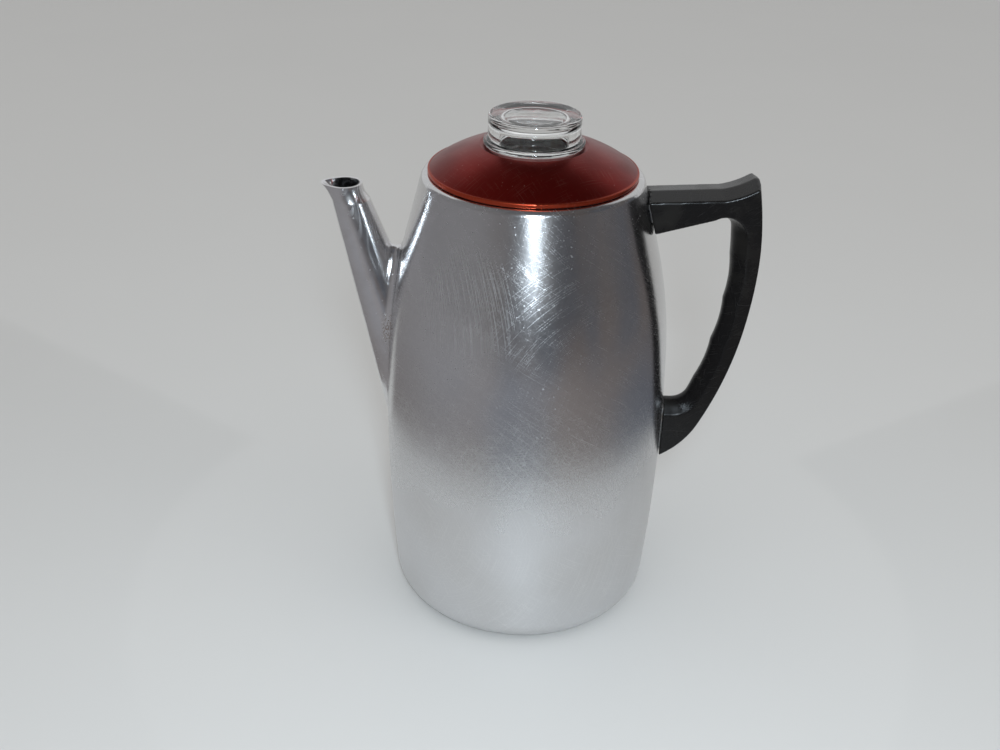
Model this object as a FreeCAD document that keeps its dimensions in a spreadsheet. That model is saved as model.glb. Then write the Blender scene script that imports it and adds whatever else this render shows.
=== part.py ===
import FreeCAD, Part
import math
import os
import Sketcher
from FreeCAD import Placement, Rotation, Vector

# Stovetop coffee percolator, in millimetres, +Z up.
# The origin is the centre of the base. The spout points along -X and the handle along +X.

doc = FreeCAD.newDocument("percolator")

# ---------------------------------------------------------------- driving dimensions

SIZES = {
    # vessel, a surface of revolution about Z
    "belly_radius": 68.0,
    "belly_height": 87.0,
    "base_corner": 12.0,
    "lower_sweep": 1000.0,
    "upper_sweep": 900.0,
    "flank_height": 137.0,
    "shoulder_sweep": 240.0,
    "neck_angle": 15.0,
    "neck_height": 218.0,
    "rim_roll": 3.0,
    "wall": 1.4,
    "ledge_width": 2.47,
    "mouth_lip": 7.0,
    # strainer holes behind the spout
    "strainer_hole": 2.6,
    "strainer_pitch": 8.5,
    "strainer_rise": 37.0,
    # spout, a leaning cone with a beak
    "spout_root_drop": 9.0,
    "spout_root_inset": 23.9,
    "spout_root_radius": 20.8,
    "spout_neck_drop": 13.0,
    "spout_neck_stand": 14.3,
    "spout_neck_radius": 8.7,
    "spout_mouth_drop": 5.6,
    "spout_mouth_stand": 16.7,
    "spout_mouth_radius": 7.9,
    "spout_beak": 3.0,
    "spout_wall": 1.2,
    "weld_radius": 3.5,
    # handle: outline in the XZ plane, all arcs tangent to their neighbours
    "arm_knee_stand": 17.0,
    "arm_knee_drop": 4.5,
    "arm_top_slope": 3.6,
    "thumb_stand": 29.6,
    "thumb_rise": 0.5,
    "thumb_hollow": 0.65,
    "nose_reach": 3.9,
    "nose_drop": 1.8,
    "nose_crown": 0.3,
    "grip_drop": 40.0,
    "grip_corner_drop": 20.4,
    "grip_foot_rise": 24.5,
    "grip_inner_stand": 23.7,
    "grip_inner_sweep": 185.0,
    "grip_outer_stand": 37.0,
    "grip_outer_sweep": 194.0,
    "arm_corner": 7.0,
    "arm_slope": 16.3,
    "foot_corner": 8.0,
    "foot_turn_rise": 8.0,
    "foot_sweep": 44.0,
    "arm_width": 23.5,
    "grip_width": 15.8,
    "arm_flare": 44.0,
    "arm_crown": 1.7,
    "finger_first_drop": 34.0,
    "finger_pitch": 22.2,
    "finger_depth": 0.7,
    "grip_rounding": 8.1,
    "outer_softness": 0.25,
    "under_softness": 0.15,
    "handle_gap": 0.6,
    # handle brackets and their fixings
    "arm_tongue_drop": 12.5,
    "arm_screw_inset": 2.0,
    "arm_plate_width": 18.0,
    "arm_plate_height": 8.0,
    "arm_rivet_offset": 6.4,
    "arm_seat_wall": 2.0,
    "foot_tongue_rise": 5.0,
    "foot_screw_stand": 7.5,
    "foot_plate_width": 10.0,
    "foot_plate_height": 22.0,
    "foot_rivet_offset": 7.5,
    "foot_seat_wall": 2.2,
    "plate_play": 0.5,
    "tongue_end": 5.0,
    "bracket_plate": 1.2,
    "tongue_thickness": 3.0,
    "tongue_width": 8.0,
    "tongue_fit": 0.2,
    "rivet_radius": 1.5,
    "rivet_head": 2.6,
    "rivet_dome": 1.1,
    "screw_radius": 2.0,
    "screw_head": 3.5,
    "screw_head_height": 2.4,
    "screw_slot": 1.0,
    "screw_well_play": 0.5,
    "washer_thickness": 0.8,
    "washer_lip": 0.2,
    "washer_fit": 0.1,
    # lid
    "lid_overhang": 2.2,
    "lid_land_margin": 1.6,
    "lid_sheet": 0.9,
    "lid_rim_height": 1.8,
    "lid_dome": 65.0,
    "lid_rise": 12.6,
    "lid_bead": 1.7,
    "lid_bead_round": 0.6,
    "lid_seat_gap": 0.2,
    "collar_fit": 0.4,
    "collar_depth": 6.0,
    "collar_round": 1.6,
    "collar_turn_in": 4.0,
    # glass knob
    "knob_radius": 20.5,
    "knob_flange": 22.5,
    "knob_flange_thickness": 2.2,
    "knob_height": 13.3,
    "knob_wall": 5.0,
    "knob_crown": 4.0,
    "knob_round": 1.2,
    "knob_dish": 0.8,
    "knob_dish_sweep": 160.0,
    "knob_flange_round": 0.8,
    "knob_foot_round": 1.0,
    "knob_ceiling_round": 2.5,
    "knob_neck": 17.6,
    "knob_neck_depth": 6.0,
    "knob_fit": 0.3,
    "lug_reach": 2.6,
    "lug_angle": 34.0,
    "lug_thickness": 2.2,
    "notch_play": 5.0,
    "twist_angle": 90.0,
    # pump
    "tube_radius": 4.5,
    "tube_wall": 0.8,
    "tube_rise": 2.8,
    "bell_radius": 28.0,
    "bell_height": 20.0,
    "bell_sheet": 1.2,
    "bell_neck_height": 12.0,
    "bell_skirt": 3.0,
    "bell_flare": 6.0,
    "bell_notch": 1.8,
    "valve_room": 3.4,
    "valve_washer_thickness": 0.8,
    "valve_washer_fit": 0.5,
    "valve_washer_gap": 0.1,
    "valve_hole": 2.4,
    "valve_seat_thickness": 1.4,
    "stop_rise": 39.0,
    "stop_radius": 7.2,
    "stop_thickness": 3.0,
    "stop_round": 0.8,
    # basket and spreader
    "basket_play": 3.4,
    "basket_height": 60.0,
    "basket_sheet": 0.9,
    "basket_rim": 1.2,
    "basket_corner": 5.0,
    "hub_stand": 8.0,
    "hub_fit": 0.4,
    "hub_sheet": 0.9,
    "hub_flange": 4.0,
    "sieve_hole": 1.2,
    "sieve_pitch": 7.0,
    "sieve_margin": 3.0,
    "spreader_sheet": 0.9,
    "spreader_lip": 4.0,
    "spreader_dish": 2.6,
    "spreader_collar_height": 6.0,
    "spreader_collar_lip": 3.0,
    "seat_gap": 0.3,
}

# Sizes that follow from the driving ones, as formulas of the same sheet.
DERIVED = {
    "lower_centre": "belly_radius - lower_sweep",
    "corner_centre": "lower_centre + sqrt((lower_sweep - base_corner)^2 - (belly_height - base_corner)^2)",
    "corner_share": "lower_sweep / (lower_sweep - base_corner)",
    "foot_radius": "lower_centre + corner_share * (corner_centre - lower_centre)",
    "foot_height": "belly_height - corner_share * (belly_height - base_corner)",
    "flank_sine": "(flank_height - belly_height) / upper_sweep",
    "flank_cosine": "sqrt(1 - flank_sine^2)",
    "flank_radius": "belly_radius - upper_sweep * (1 - flank_cosine)",
    "shoulder_height": "flank_height + shoulder_sweep * (sin(neck_angle) - flank_sine)",
    "shoulder_radius": "flank_radius - shoulder_sweep * (flank_cosine - cos(neck_angle))",
    "neck_radius": "shoulder_radius - (neck_height - shoulder_height) * tan(neck_angle)",
    "rim_centre": "neck_radius - rim_roll * cos(neck_angle)",
    "rim_height": "neck_height - rim_roll * sin(neck_angle)",
    "ledge_height": "rim_height + rim_roll",
    "mouth_radius": "rim_centre - ledge_width",
    "strainer_height": "belly_height + strainer_rise",
    "spout_root_height": "belly_height - spout_root_drop",
    "spout_root_reach": "belly_radius - spout_root_inset",
    "spout_neck_height": "neck_height - spout_neck_drop",
    "spout_neck_reach": "belly_radius + spout_neck_stand",
    "spout_mouth_height": "neck_height - spout_mouth_drop",
    "spout_mouth_reach": "belly_radius + spout_mouth_stand",
    "arm_knee_reach": "belly_radius + arm_knee_stand",
    "arm_knee_height": "neck_height - arm_knee_drop",
    "thumb_reach": "belly_radius + thumb_stand",
    "thumb_height": "neck_height + thumb_rise",
    "grip_height": "neck_height - grip_drop",
    "grip_inner_reach": "belly_radius + grip_inner_stand",
    "grip_outer_reach": "belly_radius + grip_outer_stand",
    "grip_corner_height": "neck_height - grip_corner_drop",
    "grip_foot_height": "belly_height + grip_foot_rise",
    "foot_turn_height": "belly_height + foot_turn_rise",
    "finger_first_height": "neck_height - finger_first_drop",
    "arm_tongue_height": "neck_height - arm_tongue_drop",
    "arm_screw_reach": "belly_radius - arm_screw_inset",
    "foot_tongue_height": "belly_height + foot_tongue_rise",
    "foot_screw_reach": "belly_radius + foot_screw_stand",
    "lid_radius": "mouth_radius + lid_overhang",
    "lid_land": "knob_flange + lid_land_margin",
    "lid_base": "ledge_height + lid_seat_gap",
    "lid_rim_top": "lid_base + lid_rim_height",
    "land_height": "lid_base + lid_rise",
    "lid_chord": "sqrt((lid_radius - lid_land)^2 + (land_height - lid_rim_top)^2)",
    "lid_shift_out": "lid_sheet * (land_height - lid_rim_top) / lid_chord",
    "lid_shift_down": "lid_sheet * (lid_radius - lid_land) / lid_chord",
    "knob_base": "land_height + seat_gap",
    "knob_top": "knob_base + knob_height",
    "knob_bore": "knob_radius - knob_wall",
    "collar_radius": "mouth_radius - collar_fit",
    "tube_top": "ledge_height + tube_rise",
    "stop_height": "belly_height + stop_rise",
    "basket_radius": "mouth_radius - basket_play",
    "hub_base": "stop_height + stop_thickness + seat_gap",
    "hub_bore": "tube_radius + hub_fit",
    "hub_radius": "hub_bore + hub_sheet",
    "basket_base": "hub_base + hub_sheet",
    "basket_top": "basket_base + basket_height",
    "spreader_base": "basket_top + seat_gap",
    "bell_base": "wall + seat_gap",
    "bell_top": "bell_base + bell_height",
    "bell_neck_top": "bell_top + bell_neck_height",
}

# ---------------------------------------------------------------- sheet and sketch helpers

sheet = doc.addObject("Spreadsheet::Sheet", "Sizes")


def fill_sheet(entries, first_row, prefix):
    for row, (alias, value) in enumerate(entries.items(), start=first_row):
        sheet.set(f"A{row}", alias)
        sheet.set(f"B{row}", prefix + str(value))
        sheet.setAlias(f"B{row}", alias)


fill_sheet(SIZES, 1, "")
doc.recompute()
fill_sheet(DERIVED, len(SIZES) + 3, "=")
doc.recompute()


def size(alias):
    """Return a size of the sheet as a plain number."""
    return float(getattr(sheet, alias))


def sized(expression):
    """Turn an expression in aliases into one that names the sheet."""
    words = []
    word = ""
    for letter in expression + " ":
        if letter.isalnum() or letter == "_":
            word += letter
            continue
        words.append("Sizes." + word if word in SIZES or word in DERIVED else word)
        words.append(letter)
        word = ""
    return "".join(words).strip()


def value(expression):
    result = sheet.evalExpression(sized(expression))
    return float(getattr(result, "Value", result))


def origin_feature(body, role):
    return next(item for item in body.Origin.OriginFeatures if item.Role == role)


def add_sketch(body, name, role="XZ_Plane"):
    sketch = body.newObject("Sketcher::SketchObject", name)
    sketch.AttachmentSupport = [(origin_feature(body, role), "")]
    sketch.MapMode = "FlatFace"
    return sketch


def pin(sketch, kind, geometry, point, expression):
    """Hold one coordinate of a sketch point at an expression, whatever its sign."""
    number = value(expression)
    if abs(number) < 1e-9:
        axis = -2 if kind == "DistanceX" else -1
        sketch.addConstraint(Sketcher.Constraint("PointOnObject", geometry, point, axis))
        return
    if number > 0:
        constraint = Sketcher.Constraint(kind, -1, 1, geometry, point, number)
        index = sketch.addConstraint(constraint)
        sketch.setExpression(f"Constraints[{index}]", sized(expression))
    else:
        constraint = Sketcher.Constraint(kind, geometry, point, -1, 1, -number)
        index = sketch.addConstraint(constraint)
        sketch.setExpression(f"Constraints[{index}]", sized(f"-({expression})"))


def arc_between(start, end, radius, turn):
    """Minor arc from start to end that turns left or right, as a circle and its centre."""
    middle = (start + end) * 0.5
    chord = end - start
    height = math.sqrt(max(radius ** 2 - (chord.Length / 2) ** 2, 0.0))
    side = Vector(-chord.y, chord.x, 0).normalize()
    centre = middle + side * (height if turn == "left" else -height)
    circle = Part.Circle(centre, Vector(0, 0, 1), radius)
    first, last = (start, end) if turn == "left" else (end, start)
    angles = [math.atan2(point.y - centre.y, point.x - centre.x) for point in (first, last)]
    if angles[1] < angles[0]:
        angles[1] += 2 * math.pi
    return Part.ArcOfCircle(circle, angles[0], angles[1])


def add_outline(sketch, corners):
    """Draw a closed outline. Each corner is (x, y) or (x, y, radius, turn) for an arc to the next."""
    points = [Vector(value(corner[0]), value(corner[1]), 0) for corner in corners]
    ends = []
    for index, corner in enumerate(corners):
        start = points[index]
        end = points[(index + 1) % len(points)]
        if len(corner) == 2:
            geometry = sketch.addGeometry(Part.LineSegment(start, end), False)
            ends.append((geometry, 1, 2))
        else:
            arc = arc_between(start, end, value(corner[2]), corner[3])
            geometry = sketch.addGeometry(arc, False)
            ends.append((geometry, 1, 2) if corner[3] == "left" else (geometry, 2, 1))
    for index, corner in enumerate(corners):
        geometry, first, last = ends[index]
        following = ends[(index + 1) % len(ends)]
        sketch.addConstraint(Sketcher.Constraint("Coincident", geometry, last, following[0], following[1]))
        pin(sketch, "DistanceX", geometry, first, corner[0])
        pin(sketch, "DistanceY", geometry, first, corner[1])
        if len(corner) > 2:
            number = sketch.addConstraint(Sketcher.Constraint("Radius", geometry, value(corner[2])))
            sketch.setExpression(f"Constraints[{number}]", sized(corner[2]))


def add_circle(sketch, x, y, radius):
    centre = Vector(value(x), value(y), 0)
    circle = sketch.addGeometry(Part.Circle(centre, Vector(0, 0, 1), value(radius)), False)
    pin(sketch, "DistanceX", circle, 3, x)
    pin(sketch, "DistanceY", circle, 3, y)
    number = sketch.addConstraint(Sketcher.Constraint("Radius", circle, value(radius)))
    sketch.setExpression(f"Constraints[{number}]", sized(radius))


# ---------------------------------------------------------------- feature helpers

def add_body(label):
    body = doc.addObject("PartDesign::Body", label)
    body.Label = label
    return body


def revolve(body, name, corners):
    """Turn an outline given as (radius, height) about the body's Z axis."""
    sketch = add_sketch(body, name + "_outline")
    add_outline(sketch, corners)
    turned = body.newObject("PartDesign::Revolution", name)
    turned.Profile = sketch
    turned.ReferenceAxis = (sketch, ["V_Axis"])
    turned.Angle = 360
    doc.recompute()
    return turned


def turned_body(label, corners):
    body = add_body(label)
    revolve(body, label + "_turning", corners)
    return body


def hole_ring(body, name, ring_radius, hole_radius, count, start_angle=0.0):
    """Drill one hole through the body along Z and repeat it round the axis."""
    sketch = add_sketch(body, name + "_circle", "XY_Plane")
    add_circle(sketch, f"({ring_radius}) * cos({start_angle})", f"({ring_radius}) * sin({start_angle})",
               hole_radius)
    before = body.Shape.Volume
    drilled = body.newObject("PartDesign::Pocket", name)
    drilled.Profile = sketch
    drilled.Type = 1
    drilled.Midplane = True
    doc.recompute()
    if drilled.Shape.Volume >= before:
        raise RuntimeError(f"{name} cuts nothing")
    pattern = body.newObject("PartDesign::PolarPattern", name + "_pattern")
    pattern.Originals = [drilled]
    pattern.Axis = (origin_feature(body, "Z_Axis"), [""])
    pattern.Angle = 360
    pattern.Occurrences = count
    body.Tip = pattern
    doc.recompute()
    return pattern


def primitive(kind, label, sizes, place=None):
    """Add a Part primitive with its sizes bound, and its place as (x, y, z) expressions."""
    item = doc.addObject("Part::" + kind, label)
    item.Label = label
    for name, expression in sizes.items():
        item.setExpression(name, sized(expression))
    for axis, expression in zip("xyz", place or ()):
        item.setExpression(f"Placement.Base.{axis}", sized(expression))
    return item


def block(label, x, y, z):
    """Box between pairs of expressions along each axis."""
    sides = {
        "Length": f"({x[1]}) - ({x[0]})",
        "Width": f"({y[1]}) - ({y[0]})",
        "Height": f"({z[1]}) - ({z[0]})",
    }
    return primitive("Box", label, sides, (x[0], y[0], z[0]))


def rod(label, x, y, bottom, top, radius):
    """Upright cylinder between two heights."""
    return primitive("Cylinder", label, {"Radius": radius, "Height": f"({top}) - ({bottom})"}, (x, y, bottom))


def sector(label, bottom, top, radius, middle, spread):
    """Upright slice of a cylinder about Z, spread evenly to both sides of an angle."""
    sizes = {"Radius": radius, "Height": f"({top}) - ({bottom})", "Angle": spread}
    item = primitive("Cylinder", label, sizes, ("0", "0", bottom))
    item.setExpression("Placement.Rotation.Angle", sized(f"({middle}) - ({spread}) / 2"))
    return item


def fuse(label, *items):
    if len(items) == 1:
        return items[0]
    joined = doc.addObject("Part::MultiFuse", label)
    joined.Label = label
    joined.Shapes = list(items)
    doc.recompute()
    return joined


def cut(label, base, tool):
    rest = doc.addObject("Part::Cut", label)
    rest.Label = label
    rest.Base = base
    rest.Tool = tool
    doc.recompute()
    return rest


def common(label, base, tool):
    shared = doc.addObject("Part::Common", label)
    shared.Label = label
    shared.Base = base
    shared.Tool = tool
    doc.recompute()
    return shared


def solid_of(label, shape):
    """Keep a shape made with Part's functions as an object of the document."""
    item = doc.addObject("Part::Feature", label)
    item.Label = label
    item.Shape = shape
    item.Placement = Placement()
    return item


# ---------------------------------------------------------------- vessel

def pot_side(shift, corner):
    """The vessel's side from the base corner to the neck, as corners moved outward by shift."""
    return [
        ("corner_centre", f"base_corner - ({corner})", corner, "left"),
        (f"foot_radius + ({shift})", "foot_height", "lower_sweep", "left"),
        (f"belly_radius + ({shift})", "belly_height", "upper_sweep", "left"),
        (f"flank_radius + ({shift})", "flank_height", "shoulder_sweep", "left"),
        (f"shoulder_radius + ({shift})", "shoulder_height"),
    ]


def reversed_side(shift, corner):
    """The same side walked downward, as the inside of the wall."""
    return [
        (f"shoulder_radius + ({shift})", "shoulder_height", "shoulder_sweep", "right"),
        (f"flank_radius + ({shift})", "flank_height", "upper_sweep", "right"),
        (f"belly_radius + ({shift})", "belly_height", "lower_sweep", "right"),
        (f"foot_radius + ({shift})", "foot_height", corner, "right"),
        ("corner_centre", f"base_corner - ({corner})"),
    ]


def pot_form(label, shift):
    """The vessel's outer form as a solid, its side moved outward by shift."""
    corners = [("0", "0")] + pot_side(shift, "base_corner")
    corners += [
        (f"neck_radius + ({shift})", "neck_height", "rim_roll", "left"),
        (f"rim_centre + ({shift})", "ledge_height"),
        ("0", "ledge_height"),
    ]
    return turned_body(label, corners)


def pot_radius(height):
    """Outer radius of the vessel at a height above its belly."""
    if height < size("flank_height"):
        sweep = size("upper_sweep")
        rise = height - size("belly_height")
        return size("belly_radius") - sweep + math.sqrt(sweep ** 2 - rise ** 2)
    lean = math.tan(math.radians(size("neck_angle")))
    return size("shoulder_radius") - (height - size("shoulder_height")) * lean


def make_vessel():
    body = add_body("vessel_wall")
    corners = [("0", "0")] + pot_side("0", "base_corner")
    corners += [
        ("neck_radius", "neck_height", "rim_roll", "left"),
        ("rim_centre", "ledge_height"),
        ("mouth_radius", "ledge_height"),
        ("mouth_radius", "ledge_height - mouth_lip"),
        ("mouth_radius + wall", "ledge_height - mouth_lip"),
        ("mouth_radius + wall", "ledge_height - wall"),
        ("rim_centre", "ledge_height - wall", "rim_roll - wall", "right"),
        ("rim_centre + (rim_roll - wall) * cos(neck_angle)",
         "rim_height + (rim_roll - wall) * sin(neck_angle)"),
    ]
    corners += reversed_side("-wall", "base_corner - wall")
    corners.append(("0", "wall"))
    revolve(body, "vessel_turning", corners)
    sketch = add_sketch(body, "strainer_circles", "YZ_Plane")
    for column, rows in ((-1, 2), (0, 3), (1, 2)):
        for line in range(rows):
            step = line - (rows - 1) / 2
            add_circle(sketch, f"{column} * strainer_pitch * cos(30)",
                       f"strainer_height + {step} * strainer_pitch", "strainer_hole")
    before = body.Shape.Volume
    strainer = body.newObject("PartDesign::Pocket", "strainer_holes")
    strainer.Profile = sketch
    strainer.Type = 1
    doc.recompute()
    if strainer.Shape.BoundBox.XMin > -1 or strainer.Shape.Volume >= before:
        raise RuntimeError("the strainer holes miss the spout side")
    return body


# ---------------------------------------------------------------- spout

def spout_ring(height, reach, radius, beak):
    """Horizontal section of the spout, drawn out into a beak on its outer side."""
    count = 24
    narrowness = 6
    points = []
    for step in range(count):
        angle = 2 * math.pi * step / count
        stretch = beak * max(0.0, -math.cos(angle)) ** narrowness
        out = radius + stretch
        points.append(Vector(-reach + out * math.cos(angle), out * math.sin(angle), height))
    curve = Part.BSplineCurve()
    curve.interpolate(Points=points, PeriodicFlag=True)
    return Part.Wire(curve.toShape())


def spout_form(inset, top):
    """Solid of the spout's outside, or of its bore when inset: a leaning cone and a drawn lip."""
    low = size("spout_root_height")
    high = size("spout_neck_height")
    lean = (size("spout_neck_reach") - size("spout_root_reach")) / (high - low)
    taper = (size("spout_neck_radius") - size("spout_root_radius")) / (high - low)
    root = spout_ring(low, size("spout_root_reach"), size("spout_root_radius") - inset, 0.0)
    neck = spout_ring(high, size("spout_neck_reach"), size("spout_neck_radius") - inset, 0.0)
    cone = Part.makeLoft([root, neck], True, True)
    rings = [neck]
    for third in (1, 2, 3):
        share = third / 3
        beak = share ** 2.3
        height = high + share * (top - high)
        straight = size("spout_neck_reach") + lean * (height - high)
        reach = straight + share * (size("spout_mouth_reach") - straight)
        slim = size("spout_neck_radius") + taper * (height - high)
        radius = slim + share * (size("spout_mouth_radius") - slim)
        rings.append(spout_ring(height, reach, radius - inset, size("spout_beak") * beak))
    lip = Part.makeLoft(rings, True, False)
    return cone.fuse(lip)


def weld_edges(joined):
    """Edges where the spout's cone meets the vessel's turned side."""
    found = []
    for edge in joined.Edges:
        faces = joined.ancestorsOfType(edge, Part.Face)
        lofted = [isinstance(face.Surface, Part.BSplineSurface) for face in faces]
        flat = any(isinstance(face.Surface, Part.Plane) for face in faces)
        if lofted.count(True) == 1 and len(lofted) == 2 and not flat:
            found.append(edge)
    return found


def make_spout(pot):
    """Spout with its polished weld fillet, trimmed to the vessel's outside and bored through."""
    outside = spout_form(0.0, size("spout_mouth_height"))
    joined = pot.Shape.fuse(outside).removeSplitter()
    welded = joined.makeFillet(size("weld_radius"), weld_edges(joined))
    if not welded.isValid() or welded.Volume <= joined.Volume:
        raise RuntimeError("the weld fillet adds nothing")
    outside = solid_of("spout_outside", welded)
    past_mouth = 0.02
    bore = solid_of("spout_bore", spout_form(size("spout_wall"), size("spout_mouth_height") + past_mouth))
    trimmed = cut("spout_trimmed", outside, pot)
    return cut("spout", trimmed, bore)


# ---------------------------------------------------------------- handle

def blend(start, end, position):
    """Smooth step from 0 to 1 between two positions."""
    share = min(1.0, max(0.0, (position - start) / (end - start)))
    return share * share * (3 - 2 * share)


def mid_height(share):
    """Height at a share of the change from grip width to arm width."""
    low = size("grip_height") - size("arm_flare") / 2
    return low + share * size("arm_flare")


def half_width(height):
    """Half the handle's width: broad at the arm, narrow at the grip."""
    change = blend(mid_height(0.0), mid_height(1.0), height)
    return (size("grip_width") + change * (size("arm_width") - size("grip_width"))) / 2


def rounded_in(point, normal, weight, across):
    """Move an outline point into the handle so that its long edges are rounded."""
    share = abs(across) / half_width(point.z)
    fullness = 2.6
    steepness = 1.2
    depth = size("grip_rounding") * weight * (1 - math.exp(-steepness * share ** fullness))
    return point + normal * depth


def strand(points, across):
    """Smooth edge through outline points at one distance from the middle plane."""
    moved = [rounded_in(point, normal, weight, across) for point, normal, weight in points]
    for point in moved:
        point.y = across
    return moved


def sweep_points(centre, radius, first, last, inward, weights, count=9, depth=0.0):
    """Points on an arc, with normals into the handle and an optional finger hollow."""
    points = []
    for step in range(count):
        share = step / (count - 1)
        angle = first + share * (last - first)
        out = Vector(math.cos(angle), 0, math.sin(angle))
        hollow = depth * 4 * share * (1 - share)
        weight = weights[0] + share * (weights[1] - weights[0])
        point = centre + out * radius + out * inward * hollow
        points.append((point, out * inward, weight))
    return points


def handle_strands():
    """The handle's outline in the XZ plane as smooth edges, from the top down and back."""
    mid = size("grip_height")
    outer_sweep = size("grip_outer_sweep")
    outer_centre = Vector(size("grip_outer_reach") - outer_sweep, 0, mid)
    overrun = 8.0
    top_angle = math.asin((size("thumb_height") + overrun - mid) / outer_sweep)
    turn_angle = -math.asin((mid - size("foot_turn_height")) / outer_sweep)
    soft = size("outer_softness")
    outer = sweep_points(outer_centre, outer_sweep, top_angle, turn_angle, -1, (soft, soft))

    foot_sweep = size("foot_sweep")
    turn = Vector(math.cos(turn_angle), 0, math.sin(turn_angle))
    foot_centre = outer_centre + turn * (outer_sweep - foot_sweep)
    inside_wall = size("belly_radius") - 4
    tip_angle = -math.acos((inside_wall - foot_centre.x) / foot_sweep)
    foot = sweep_points(foot_centre, foot_sweep, turn_angle, tip_angle, -1, (soft, soft))

    inner_sweep = size("grip_inner_sweep")
    inner_centre = Vector(size("grip_inner_reach") - inner_sweep, 0, mid)
    low = -math.asin((mid - size("grip_foot_height")) / inner_sweep)
    high = math.asin((size("grip_corner_height") - mid) / inner_sweep)
    first = math.asin((size("finger_first_height") - mid) / inner_sweep)
    pitch = size("finger_pitch") / inner_sweep
    ridges = [first - 3 * pitch, first - 2 * pitch, first - pitch, first]

    corner = size("foot_corner")
    low_out = Vector(math.cos(low), 0, math.sin(low))
    corner_centre = inner_centre + low_out * (inner_sweep - corner)
    foot_corner = sweep_points(corner_centre, corner, -math.pi / 2, low, 1, (1.0, 1.0))
    inside = inside_wall - 14
    foot_top = [(Vector(inside, 0, foot_corner[0][0].z), Vector(0, 0, -1), 1.0), foot_corner[0]]

    fingers = []
    bounds = [low] + ridges + [high]
    for index in range(len(bounds) - 1):
        middle = 0 < index < len(bounds) - 2
        depth = size("finger_depth") if middle else 0.0
        fingers.append(sweep_points(inner_centre, inner_sweep, bounds[index], bounds[index + 1], 1,
                                    (1.0, 1.0), count=7, depth=depth))

    arm_corner = size("arm_corner")
    high_out = Vector(math.cos(high), 0, math.sin(high))
    arm_centre = inner_centre + high_out * (inner_sweep - arm_corner)
    under_angle = math.pi / 2 + math.radians(size("arm_slope"))
    corner_points = sweep_points(arm_centre, arm_corner, high, under_angle, 1, (1.0, size("under_softness")))
    last, normal, weight = corner_points[-1]
    slope = math.tan(math.radians(size("arm_slope")))
    arm_end = inside - 12
    start = Vector(arm_end, 0, last.z - (last.x - arm_end) * slope)
    under = [(last, normal, weight), (start, normal, weight)]
    return [outer, foot, foot_top, foot_corner] + fingers + [corner_points, under]


def smooth_edge(points):
    if len(points) == 2:
        return Part.makeLine(points[0], points[1])
    curve = Part.BSplineCurve()
    curve.interpolate(points)
    return curve.toShape()


def handle_section(strands, across):
    """Closed wire of the handle at one distance from its middle plane."""
    edges = []
    runs = [strand(points, across) for points in strands]
    outer, foot, foot_top = runs[0], runs[1], runs[2]
    under = runs[-1]
    edges += [smooth_edge(outer), smooth_edge(foot)]
    low_corner = Vector(foot_top[0].x, across, foot[-1].z)
    edges += [Part.makeLine(foot[-1], low_corner), Part.makeLine(low_corner, foot_top[0])]
    edges += [smooth_edge(run) for run in runs[2:]]
    high_corner = Vector(under[-1].x, across, outer[0].z)
    edges += [Part.makeLine(under[-1], high_corner), Part.makeLine(high_corner, outer[0])]
    return Part.Wire(edges)


def handle_blank():
    """Loft of sections side by side, trimmed to the handle's width as seen from the end."""
    strands = handle_strands()
    reach = size("arm_width") / 2 + 0.5
    steps = 7
    places = [reach * step / steps for step in range(-steps, steps + 1)]
    block_shape = Part.makeLoft([handle_section(strands, place) for place in places], True, False)

    low = size("foot_turn_height") - 40
    high = size("thumb_height") + 20
    heights = [low] + [mid_height(quarter / 4) for quarter in range(5)] + [high]
    right = [Vector(0, half_width(height), height) for height in heights]
    left = [Vector(0, -half_width(height), height) for height in heights]
    upright = Vector(0, 0, 1)
    edges = []
    for side in (right, left):
        curve = Part.BSplineCurve()
        curve.interpolate(Points=side[1:-1], InitialTangent=upright, FinalTangent=upright)
        edges += [Part.makeLine(side[0], side[1]), curve.toShape(), Part.makeLine(side[-2], side[-1])]
    edges.append(Part.makeLine(right[0], left[0]))
    edges.append(Part.makeLine(right[-1], left[-1]))
    front = Part.Face(Part.Wire(Part.__sortEdges__(edges)))
    front.translate(Vector(size("belly_radius") / 3, 0, 0))
    trim = front.extrude(Vector(2 * size("belly_radius"), 0, 0))
    return block_shape.common(trim)


def roof_section(across):
    """Everything above the handle's top line, which falls away from a middle ridge."""
    fall = size("arm_crown") * (1 - 2 * abs(across) / size("arm_width"))
    rise = Vector(0, across, fall)
    knee = Vector(size("arm_knee_reach"), 0, size("arm_knee_height")) + rise
    root = size("belly_radius") / 2
    start = knee - Vector(1, 0, math.tan(math.radians(size("arm_top_slope")))) * (knee.x - root)
    start.y = across
    thumb = Vector(size("thumb_reach"), 0, size("thumb_height")) + rise
    hollow = (knee + thumb) * 0.5 - Vector(0, 0, size("thumb_hollow"))
    edge = thumb + Vector(size("nose_reach"), 0, -size("nose_drop"))
    crown = thumb + Vector(size("nose_reach") * 0.6, 0, size("nose_crown"))
    clear = edge + Vector(6, 0, -13)
    far = clear.x + 8
    above = size("thumb_height") + 25
    corners = [clear, Vector(far, across, clear.z), Vector(far, across, above)]
    corners += [Vector(root, across, above), start]
    edges = [
        Part.makeLine(start, knee),
        Part.Arc(knee, hollow, thumb).toShape(),
        Part.Arc(thumb, crown, edge).toShape(),
        Part.makeLine(edge, clear),
    ]
    edges += [Part.makeLine(corners[index], corners[index + 1]) for index in range(4)]
    return Part.Wire(edges)


def make_handle(tools):
    roof_half = size("arm_width") / 2 + 1.5
    roof = Part.makeLoft([roof_section(place) for place in (-roof_half, 0.0, roof_half)], True, True)
    blank = solid_of("handle_blank", handle_blank().cut(roof))
    return cut("handle", blank, fuse("handle_cuts", *tools))


# ---------------------------------------------------------------- handle brackets, rivets and screws

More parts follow.
